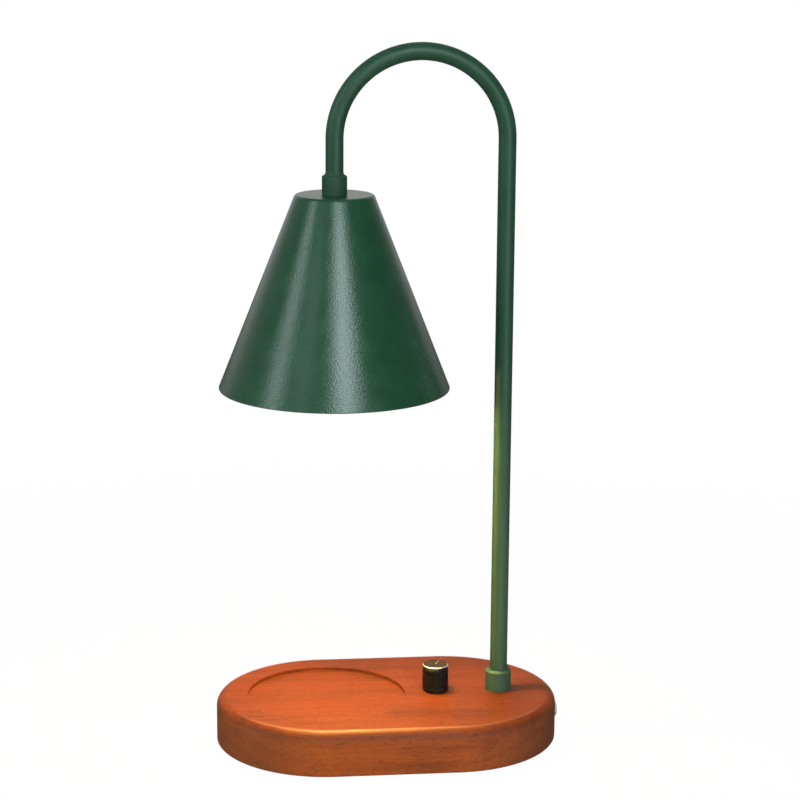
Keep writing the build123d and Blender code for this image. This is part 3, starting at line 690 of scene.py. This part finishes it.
def makeCoverScrews():
    low, high = boxInMm("bottom_cover_screws")
    head, shank, long = coverScrew["head"] / 2, coverScrew["shank"] / 2, high.z - low.z
    rim = coverScrew["headRim"]
    outline = rounded([
        (0, 0, 0), (head, 0, coverScrew["headRounding"]), (head, rim, 0),
        (shank, head - shank + rim, 0), (shank, long - coverScrew["point"], 0), (0, long, 0),
    ], 3)
    baseLow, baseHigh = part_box("wooden_base")
    halfLength, halfWidth = (baseHigh.x - baseLow.x) / 2, (baseHigh.y - baseLow.y) / 2
    reach = halfWidth - coverScrew["rimInset"] * mm
    out = halfLength - halfWidth + reach * cos(radians(coverScrew["cornerTurn"]))
    aside = reach * sin(radians(coverScrew["cornerTurn"]))
    places = [(x, y, low.z * mm) for x in (-out, out) for y in (-aside, aside)]
    places += [(0, -reach, low.z * mm), (0, reach, low.z * mm)]
    setScrews("coverScrews", "bottom_cover_screws", crossedScrew("coverScrew", outline), places)


panScrew = {
    "head": 5.5,
    "headHeight": 2.0,
    "headRounding": 0.3,
    "dome": 0.6,
    "shank": 3.0,
    "tip": 0.4,
}


def makePanScrews(name, node):
    low, high = boxInMm(node)
    head, shank, long = panScrew["head"] / 2, panScrew["shank"] / 2, high.z - low.z
    under, dome, tip = panScrew["headHeight"], panScrew["dome"], panScrew["tip"]
    outline = rounded([
        (0, 0, 0), (head - dome, 0, 0), (head, dome, panScrew["headRounding"]), (head, under, 0),
        (shank, under, 0), (shank, long - tip, 0), (shank - tip, long, 0), (0, long, 0),
    ], 3)
    ends = low.x + head, high.x - head
    places = [(x * mm, (low.y + high.y) / 2 * mm, low.z * mm) for x in ends]
    setScrews(name, node, crossedScrew(name + "One", outline), places)


makeCoverScrews()
makePanScrews("holderScrews", "holder_screws")
makePanScrews("plateScrews", "dimmer_plate_screws")
print("screws made")

# the bulb's reflector has flat mirrored facets inside and plain glass outside
bulb = {
    "glass": 1.6,
    "throatRadius": 4.6,
    "neckRadius": 8.0,
    "rimHeight": 3.0,
    "bulge": 2.6,
    "facets": 40,
    "facetRows": 9,
    "backRows": 14,
    "seatGap": (0.06, 0.05),  # round the front glass and above it
    "sameBand": 0.01,  # two middles this close are of the same band
    "glowTone": tone(255, 208, 140),
    "mirrorGlow": 0.25,
    "mirrorLooks": (tone(232, 226, 214), tone(222, 214, 200), 300, 0.12),
    "capsuleGlow": 5.0,
    "capsuleLooks": (tone(250, 240, 220), tone(244, 232, 208), 300, 0.2),
    "frontGlass": {"Transmission Weight": 1.0, "IOR": 1.45, "Roughness": 0.03},
}


def bow(start, end, bulge, count):
    # the points between two ends, swelled sideways by bulge
    aside = Vector(((start - end).y, (end - start).x)).normalized() * bulge
    return [start.lerp(end, k / count) + aside * sin(pi * k / count) for k in range(1, count)]


def makeReflector():
    low, high = boxInMm("bulb_reflector")
    baseLow, baseHigh = boxInMm("bulb_base")
    glassLow, glassHigh = boxInMm("bulb_front_glass")
    rim, glass = (high.x - low.x) / 2, bulb["glass"]
    throat, neckRadius = bulb["throatRadius"], bulb["neckRadius"]
    shoulder = Vector(((baseHigh.x - baseLow.x) / 2, baseLow.z))
    edge = Vector((rim, low.z + bulb["rimHeight"]))
    seat = Vector(((glassHigh.x - glassLow.x) / 2, glassHigh.z)) + Vector(bulb["seatGap"])
    mouth = Vector((rim - glass, seat.y))
    root = Vector((throat, shoulder.y + glass))
    mirrored = [mouth, *bow(mouth, root, -(bulb["bulge"] + glass), bulb["facetRows"]), root]
    outline = [
        Vector((throat, high.z)), Vector((neckRadius, high.z)), Vector((neckRadius, shoulder.y)),
        shoulder, *bow(shoulder, edge, bulb["bulge"], bulb["backRows"]), edge,
        Vector((rim, low.z)), Vector((seat.x, low.z)), seat, *mirrored,
    ]
    bands = [(a + b) / 2 for a, b in zip(mirrored, mirrored[1:])]

    def side(spot):
        return int(min((band - spot).length for band in bands) < bulb["sameBand"])

    glow = {"Emission Color": bulb["glowTone"], "Emission Strength": bulb["mirrorGlow"]}
    mirror = finish("mirrorCoat", {"Metallic": 1.0, **glow}, mottled(*bulb["mirrorLooks"]))
    finishes, axis = [small["glassBack"], mirror], middle("bulb_reflector")
    mesh = turned("bulbReflector", outline, finishes, axis, bulb["facets"], finishAt=side, flat=1)
    piece = placed("bulbReflector", mesh)
    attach(piece, "bulb")
    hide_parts("bulb_reflector")


makeReflector()
print("bulb made")

# oiled wood: grain along x, dark flecks and pores, a rippled figure, darker end grain that is partly
# painted shade, and painted shade on the top and along the foot of the rounded edge
wood = {
    "light": tone(156, 73, 30),
    "dark": tone(106, 50, 24),
    "darkFrom": (0.0, 0.75),
    "rough": 0.42,
    "mirror": 0.065,
    # the rings of the log: their width, and how far its heart lies behind and below the base
    "ring": 9.0,
    "heartAside": 20.0,
    "heartDepth": 60.0,
    "warpReach": 6.0,
    # noises: marks a metre along x, y and z, detail and roughness
    "warp": ((9, 28, 28), 2.0),
    "streaks": ((16, 520, 520), 3.0, 0.6),
    "clouds": ((13, 30, 30), 3.0),
    "ripple": ((190, 34, 34), 1.0),
    "flecks": ((300, 1300, 1300), 2.0, 0.6),
    "pores": ((420, 2600, 2600), 2.0),
    "specks": ((1500, 1900, 1900), 2.0),
    # where each noise turns into a mark
    "rippleFrom": (0.45, 0.7),
    "fleckFrom": (0.56, 0.70),
    "poreFrom": (0.58, 0.70),
    "speckFrom": (0.58, 0.72),
    # how much each one darkens the wood, and what is taken off their sum
    "streakShare": 0.62,
    "cloudShare": 0.34,
    "ringShare": 0.10,
    "rippleShare": 0.25,
    "paler": 0.25,
    "pore": tone(58, 26, 16),
    "fleckDark": 0.45,
    "poreDark": 0.25,
    # end grain, which grows towards the ends and stops below the top; its darkening is also painted
    # shade on the ends
    "endGrainAndShade": tone(86, 50, 33),
    "endDark": 0.6,
    "endFrom": (32.0, 82.0),
    "endBelow": (19.0, 26.0),
    "speck": tone(190, 126, 78),
    "speckLight": 0.3,
    # painted shade: the top is darker than the sides, to offset the stronger light that falls on it
    "paintedTopShade": tone(24, 4, 4),
    "topDark": 0.36,
    "topFrom": (21.5, 24.5),
    # painted shade lies darker along the foot of the rounded edge
    "band": tone(88, 46, 36),
    "bandDark": 0.40,
    "bandFrom": (20.5, 22.5),
    "bandTo": (24.2, 25.8),
    # the front edge is polished by use between these heights
    "polish": 0.54,
    "polishRough": 0.42,
    "polishFrom": (26.9, 27.3),
    "polishTo": (27.44, 27.5),
    "polishBack": (-20.0, -45.0),
    # roughness and height of the marks
    "streakRough": 0.10,
    "fleckRough": 0.15,
    "streakHeight": 0.3,
    "poreHeight": 0.6,
    "bump": 0.05,
}


def woodGrain(w):
    place = w.place()
    x, y, z = place.split()
    warp = place.noise(*wood["warp"]) * (wood["warpReach"] * mm)
    heart = ((y + wood["heartAside"] * mm) ** 2 + (z + wood["heartDepth"] * mm) ** 2) ** 0.5
    turn = (heart + warp) * (2 * pi / (wood["ring"] * mm))
    rings = (turn.maths("SINE") * 0.5 + 0.5) ** 2.0
    streaks = place.noise(*wood["streaks"])
    clouds = place.noise(*wood["clouds"])
    ripple = place.noise(*wood["ripple"]) * clouds.between(*wood["rippleFrom"])
    depth = streaks * wood["streakShare"] + clouds * wood["cloudShare"]
    depth = depth + rings * wood["ringShare"] + ripple * wood["rippleShare"] - wood["paler"]
    flecks = place.noise(*wood["flecks"]).between(*wood["fleckFrom"])
    pores = place.noise(*wood["pores"]).between(*wood["poreFrom"])
    specks = place.noise(*wood["specks"]).between(*wood["speckFrom"])
    # darker end grain, which is partly painted shade on the ends
    ends = x.maths("ABSOLUTE").between(*inMetres(wood["endFrom"]))
    ends = ends * (1 - z.between(*inMetres(wood["endBelow"])))
    # painted shade: the top is darkened
    top = z.between(*inMetres(wood["topFrom"]))
    # painted shade along the foot of the rounded edge
    band = z.between(*inMetres(wood["bandFrom"])) * (1 - z.between(*inMetres(wood["bandTo"])))
    edge = z.between(*inMetres(wood["polishFrom"])) * (1 - z.between(*inMetres(wood["polishTo"])))
    edge = edge * y.between(*inMetres(wood["polishBack"]))
    colour = depth.between(*wood["darkFrom"]).blend(wood["light"], wood["dark"])
    colour = (ends * wood["endDark"]).blend(colour, wood["endGrainAndShade"])
    colour = (top * wood["topDark"]).blend(colour, wood["paintedTopShade"])
    colour = (band * wood["bandDark"]).blend(colour, wood["band"])
    colour = (flecks * wood["fleckDark"] + pores * wood["poreDark"]).blend(colour, wood["pore"])
    colour = (ends * specks * wood["speckLight"]).blend(colour, wood["speck"])
    relief = streaks * wood["streakHeight"] - flecks - pores * wood["poreHeight"]
    return {
        "Base Color": colour,
        "Coat Weight": edge * wood["polish"],
        "Roughness": wood["rough"] + streaks * wood["streakRough"] + flecks * wood["fleckRough"],
        "Normal": relief.bump(wood["bump"], grain["height"] * mm),
    }


# the cover is raw board
board = {
    "light": tone(150, 104, 66),
    "dark": tone(98, 62, 38),
    "darkFrom": (0.3, 0.8),
    "streaks": ((30, 700, 700), 3.0, 0.6),
    "clouds": ((20, 50, 50), 2.0),
    "streakShare": 0.7,
    "cloudShare": 0.4,
    "rough": 0.6,
    "streakRough": 0.15,
    "bump": 0.1,
}


def boardGrain(w):
    place = w.place()
    streaks = place.noise(*board["streaks"])
    clouds = place.noise(*board["clouds"])
    depth = streaks * board["streakShare"] + clouds * board["cloudShare"]
    return {
        "Base Color": depth.between(*board["darkFrom"]).blend(board["light"], board["dark"]),
        "Roughness": board["rough"] + streaks * board["streakRough"],
        "Normal": streaks.bump(board["bump"], grain["height"] * mm),
    }


woodShine = {"Specular IOR Level": wood["mirror"], "Coat Roughness": wood["polishRough"]}
capsuleGlow = {"Emission Strength": bulb["capsuleGlow"], "Emission Color": bulb["glowTone"]}
collarCoat = coatOn("collars")
dress({
    "wooden_base": finish("oiledWood", woodShine, woodGrain),
    "bottom_cover": finish("coverBoard", {}, boardGrain),
    "rubber_feet": small["footRubber"],
    "cord_grommet": small["grommetRubber"],
    "pole_collar": collarCoat,
    "neck_collar": collarCoat,
    "lead_bushes": small["darkPlastic"],
    "lamp_holder": small["ceramic"],
    "holder_lid": small["ceramic"],
    "holder_contacts": small["brass"],
    "bulb_base": small["ceramic"],
    "bulb_pins": small["nickel"],
    "bulb_front_glass": finish("clearGlass", bulb["frontGlass"]),
    "bulb_capsule": finish("hotGlass", capsuleGlow, mottled(*bulb["capsuleLooks"])),
    "pot_wafer": small["boardResin"],
    "pot_terminals": small["nickel"],
    "dimmer_board": small["boardResin"],
    "terminal_block": small["blockPlastic"],
    "dimmer_capacitor": small["darkPlastic"],
    "dimmer_choke": small["darkPlastic"],
    "dimmer_triac": small["darkPlastic"],
    "board_resistors": small["darkPlastic"],
    "lamp_wires": small["wireSleeve"],
})
zincNodes = (
    "pole_washer", "pole_nut", "shade_washer", "shade_nut", "holder_bracket", "pot_shaft",
    "pot_housing", "dimmer_plate", "pot_washer", "pot_nut", "terminal_screws", "triac_heat_sink",
)
dress(dict.fromkeys(zincNodes, small["zincSteel"]))
print("finishes ready:", len(bpy.data.materials))

white = (1, 1, 1, 1)
ground = {
    "side": 8.0,
    "tone": tone(240, 240, 240),
    "rough": 0.9,
    "mirror": 0.1,
    # the share of plain white that the camera sees near the lamp, and where it becomes all of it
    "glow": 0.97,
    "whiteFrom": (0.25, 0.8),
    # in reflections, a ring lit by the lamp lies on a pale floor
    "warmTone": (0.45, 0.41, 0.17, 1),
    "paleTone": (0.12, 0.12, 0.12, 1),
    "warmInner": (0.19, 0.25),
    "warmOuter": (0.42, 0.48),
}


def raySorts(w):
    path = w.node("ShaderNodeLightPath").socket.node
    sorts = "Is Camera Ray", "Is Glossy Ray", "Is Transmission Ray"
    return [Wire(w.tree, path.outputs[sort]) for sort in sorts]


def makeFloor():
    bpy.ops.mesh.primitive_plane_add(size=ground["side"])
    floor = bpy.context.object
    floor.name = "floor"
    made = finish("floorWhite", {
        "Base Color": ground["tone"],
        "Roughness": ground["rough"],
        "Specular IOR Level": ground["mirror"],
    })
    tree = made.node_tree
    w = Wire(tree)
    x, y = w.place().split()[:2]
    away = fromAxis(x, y)
    camera, glossy, through = raySorts(w)
    share = ground["glow"] + away.between(*ground["whiteFrom"]) * (1 - ground["glow"])
    plain = (camera + through) * share + glossy
    warm = (1 - away.between(*ground["warmOuter"])) * away.between(*ground["warmInner"])
    colour = glossy.blend(white, warm.blend(ground["paleTone"], ground["warmTone"]))
    glow = w.node("ShaderNodeEmission", inputs={"Color": colour, "Strength": 1.0})
    lit = Wire(tree, tree.nodes["Principled BSDF"].outputs[0])
    both = w.node("ShaderNodeMixShader", inputs={0: plain, 1: lit, 2: glow})
    tree.links.new(both.socket, tree.nodes["Material Output"].inputs["Surface"])
    floor.data.materials.append(made)


# a white backdrop, and for reflections a room that is dim on the camera's side of the lamp;
# each fade is over the x or y part of a ray's direction
room = {
    "ambient": 0.30,
    "front": 0.10,
    "sides": 0.18,
    "sideFade": (-0.1, 0.4),
    "backdrop": 0.75,
    "backFade": (0.5, 0.97),
    "leftWall": 0.12,
    "leftFade": (-0.3, -0.8),
}


def makeWorld():
    world = bpy.data.worlds.new("studio")
    world.use_nodes = True
    w = Wire(world.node_tree)
    x, y = w.node("ShaderNodeTexCoord", output="Generated").split()[:2]
    camera, glossy, through = raySorts(w)
    back = room["front"] + y.between(*room["sideFade"]) * room["sides"]
    back = back + y.between(*room["backFade"]) * (room["backdrop"] - room["front"] - room["sides"])
    back = back + x.between(*room["leftFade"]) * room["leftWall"]
    level = room["ambient"] + (camera + through) * (1 - room["ambient"])
    level = level + glossy * (back - room["ambient"])
    sky = world.node_tree.nodes["Background"]
    world.node_tree.links.new(level.socket, sky.inputs["Strength"])
    sky.inputs["Color"].default_value = white
    bpy.context.scene.world = world


view = {
    "aim": (6.67 * mm, 0.0, 201.5 * mm),
    "distance": 1298.9 * mm,
    "turn": -6.3,
    "tilt": 13.09,
    "roll": 0.41,
    "lens": 103.47,
    "clipEnd": 50,
}


def outward(azimuth, elevation=0):
    # the direction towards a light, its azimuth clockwise from the camera's
    around, up = radians(azimuth + view["turn"]), radians(elevation)
    return Vector((sin(around) * cos(up), -cos(around) * cos(up), sin(up)))


def areaLight(name, width, watts, lightTone, spread, place, missedBy, height=None, out=None):
    # a disk that shines down or, with a height, a panel that shines against out
    glow = bpy.data.lights.new(name, "AREA")
    glow.shape = "RECTANGLE" if height else "DISK"
    glow.size = width
    glow.energy = watts
    glow.spread = radians(spread)
    glow.color = lightTone[:3]
    light = bpy.data.objects.new(name, glow)
    light.location = place
    if height:
        glow.size_y = height
        light.rotation_euler = out.to_track_quat("Z", "Y").to_euler()
    for rays in ("camera", *missedBy):
        setattr(light, "visible_" + rays, False)
    bpy.context.scene.collection.objects.link(light)


# azimuth, elevation, distance, width and height in metres, watts, rays that miss it
softBoxes = {
    "frontBox": (12, 30, 1.5, 0.52, 0.8, 17.0, ()),
    "sideBox": (-33, 28, 1.5, 0.30, 0.7, 1.6, ()),
    "leftBox": (-64, 24, 1.4, 0.26, 0.9, 5.8, ()),
    "lowBox": (34, -2, 1.4, 0.26, 0.3, 5.6, ("diffuse",)),
    "topBox": (150, 70, 1.4, 0.9, 0.9, 1.2, ()),
}
coolTone, boxSpread = tone(232, 250, 255), 180.0


def softBox(name):
    azimuth, elevation, distance, width, height, watts, missedBy = softBoxes[name]
    out = outward(azimuth, elevation)
    place = Vector(view["aim"]) + out * distance
    areaLight(name, width, watts, coolTone, boxSpread, place, missedBy, height, out)


# the bulb's own light: width as a share of its front glass, watts, tone, rays that miss it
bulbLights = {
    "bulbGlow": (0.5, 0.62, tone(255, 196, 118), ("glossy",)),
    "bulbShine": (2.1, 3.2, tone(255, 224, 128), ("diffuse",)),
}
bulbSpread = 150.0
bulbGap = 1.0  # below the front glass


def bulbLight(name):
    share, watts, lightTone, missedBy = bulbLights[name]
    low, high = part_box("bulb_front_glass")
    place = ((low.x + high.x) / 2, 0, low.z - bulbGap * mm)
    areaLight(name, (high.x - low.x) * share, watts, lightTone, bulbSpread, place, missedBy)


# low panels that only reflections show: the piece they face, azimuth, distance, height of the middle,
# width, height, watts, tone
lowPanels = {
    "leftPanel": ("pole_collar", -76, 0.45, 0.06, 0.60, 0.14, 0.52, (1.0, 0.72, 0.16)),
    "frontPanel": ("pole_collar", -14, 0.35, 0.03, 0.40, 0.06, 0.13, (1.0, 0.98, 0.08)),
    "rightPanel": ("pole_collar", 64, 0.42, 0.03, 0.40, 0.06, 0.12, (1.0, 0.92, 0.70)),
    "knobPanel": ("knob_body", 20, 0.30, 0.04, 0.03, 0.07, 0.035, (1.0, 0.95, 0.85)),
}
panelSpread = 60.0


def lowPanel(name):
    node, azimuth, distance, up, width, height, watts, lightTone = lowPanels[name]
    out = outward(azimuth)
    place = middle(node) * Vector((1, 1, 0)) + out * distance + Vector((0, 0, up))
    areaLight(name, width, watts, lightTone, panelSpread, place, ("diffuse",), height, out)


def makeCamera():
    camera = bpy.data.objects.new("camera", bpy.data.cameras.new("camera"))
    facing = (
        Matrix.Rotation(radians(view["turn"]), 3, "Z")
        @ Matrix.Rotation(radians(90 - view["tilt"]), 3, "X")
        @ Matrix.Rotation(radians(view["roll"]), 3, "Z")
    )
    camera.location = Vector(view["aim"]) + facing @ Vector((0, 0, view["distance"]))
    camera.rotation_euler = facing.to_euler()
    camera.data.lens = view["lens"]
    camera.data.clip_end = view["clipEnd"]
    bpy.context.scene.collection.objects.link(camera)
    bpy.context.scene.camera = camera


makeFloor()
makeWorld()
for makeLight, names in ((softBox, softBoxes), (bulbLight, bulbLights), (lowPanel, lowPanels)):
    for name in names:
        makeLight(name)
makeCamera()
bpy.context.scene.view_settings.view_transform = "Standard"
print("studio ready")
